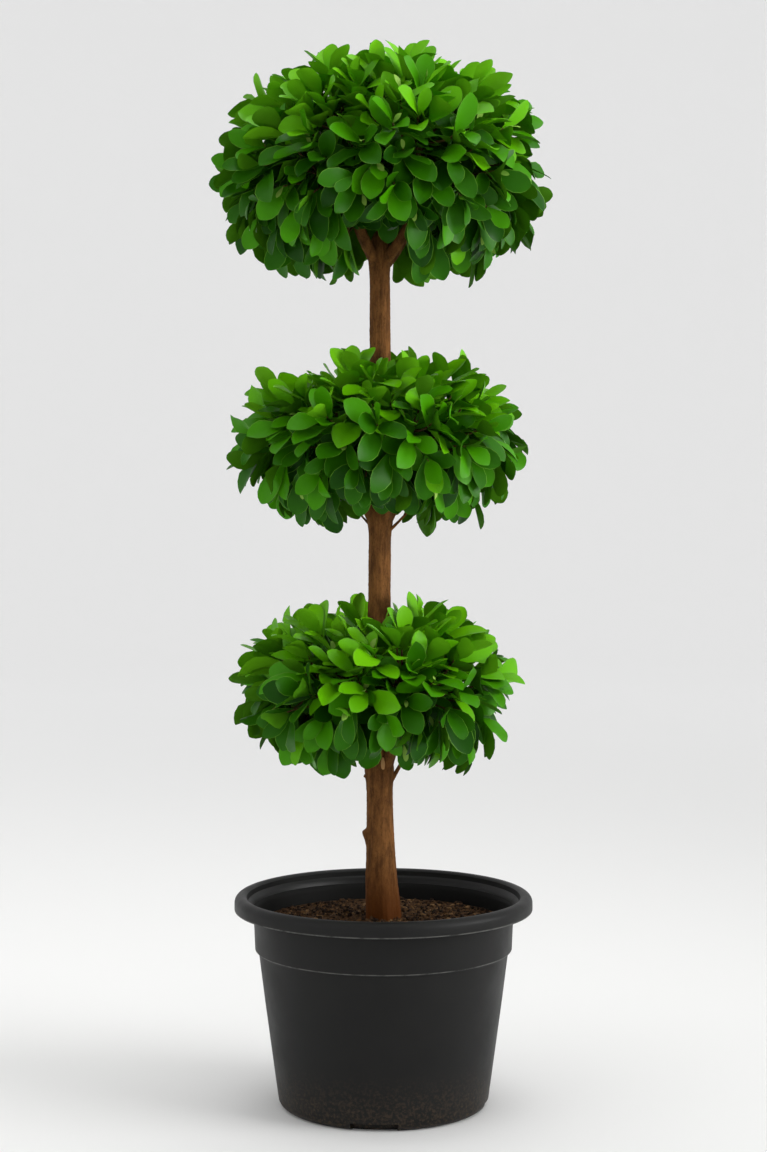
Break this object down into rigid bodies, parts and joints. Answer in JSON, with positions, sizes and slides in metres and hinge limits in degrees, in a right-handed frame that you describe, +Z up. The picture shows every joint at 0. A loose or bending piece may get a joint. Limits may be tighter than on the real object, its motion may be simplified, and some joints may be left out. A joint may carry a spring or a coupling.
{
  "type": "potted tiered topiary ficus",
  "caption": "Ficus trained as a tiered topiary: a clear trunk in a round nursery pot, with clipped domes of leaves on whorls of boughs up to its top.",
  "frame": {"origin": "on the pot's axis at ground level, under the pot's foot", "axes": "+Z up the trunk, +X to the right and -Y to the front, as the picture sees the plant"},
  "size_m": [0.4557, 0.4471, 1.4112],
  "materials": {
    "pot_plastic": "satin black",
    "potting_soil": "matt crumb",
    "bark": "matt",
    "leaf": "waxy"
  },
  "bodies": {
    "root": {"pot": "pot_plastic", "soil": "potting_soil", "trunk": "bark", "bough_low_1": "bark", "bough_low_2": "bark", "bough_low_3": "bark", "bough_low_4": "bark", "bough_middle_1": "bark", "bough_middle_2": "bark", "bough_middle_3": "bark", "bough_middle_4": "bark", "bough_top_1": "bark", "bough_top_2": "bark", "bough_top_3": "bark", "bough_top_4": "bark", "foliage_low_1": "leaf", "foliage_low_2": "leaf", "foliage_low_3": "leaf", "foliage_low_4": "leaf", "foliage_middle_1": "leaf", "foliage_middle_2": "leaf", "foliage_middle_3": "leaf", "foliage_middle_4": "leaf", "foliage_top_1": "leaf", "foliage_top_2": "leaf", "foliage_top_3": "leaf", "foliage_top_4": "leaf"}
  },
  "joints": []
}
